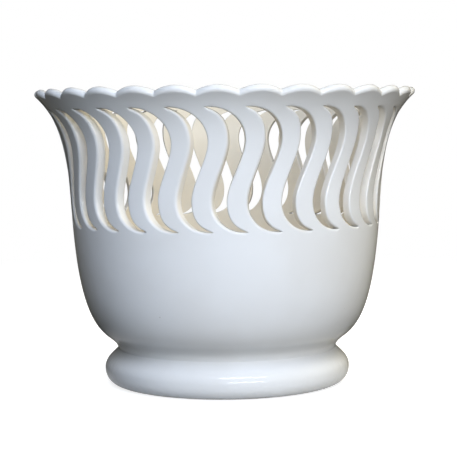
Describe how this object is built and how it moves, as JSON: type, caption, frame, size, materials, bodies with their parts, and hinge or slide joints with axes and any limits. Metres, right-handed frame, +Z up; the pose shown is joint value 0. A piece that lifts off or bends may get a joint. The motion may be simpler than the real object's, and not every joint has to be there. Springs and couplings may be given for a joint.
{
  "type": "openwork planter",
  "caption": "Round flared planter in ivory-glazed ceramic, with a rolled foot ring, a plain bowl, a wall of S-shaped openwork slats and a scalloped rim.",
  "frame": {"origin": "centre of the circle the planter stands on, at the level of the table", "axes": "+Z up along the pot's axis; -Y towards the viewer, through the middle of a slot; +X to the right"},
  "size_m": [0.3264, 0.3266, 0.2538],
  "materials": {
    "glaze": "gloss ivory-white glaze over a pale clay body"
  },
  "bodies": {
    "root": {"foot_ring": "glaze", "bowl": "glaze", "slat_01": "glaze", "slat_02": "glaze", "slat_03": "glaze", "slat_04": "glaze", "slat_05": "glaze", "slat_06": "glaze", "slat_07": "glaze", "slat_08": "glaze", "slat_09": "glaze", "slat_10": "glaze", "slat_11": "glaze", "slat_12": "glaze", "slat_13": "glaze", "slat_14": "glaze", "slat_15": "glaze", "slat_16": "glaze", "slat_17": "glaze", "slat_18": "glaze", "slat_19": "glaze", "slat_20": "glaze", "slat_21": "glaze", "slat_22": "glaze", "slat_23": "glaze", "slat_24": "glaze", "slat_25": "glaze", "slat_26": "glaze", "slat_27": "glaze", "slat_28": "glaze", "slat_29": "glaze", "slat_30": "glaze", "rim": "glaze"}
  },
  "joints": []
}
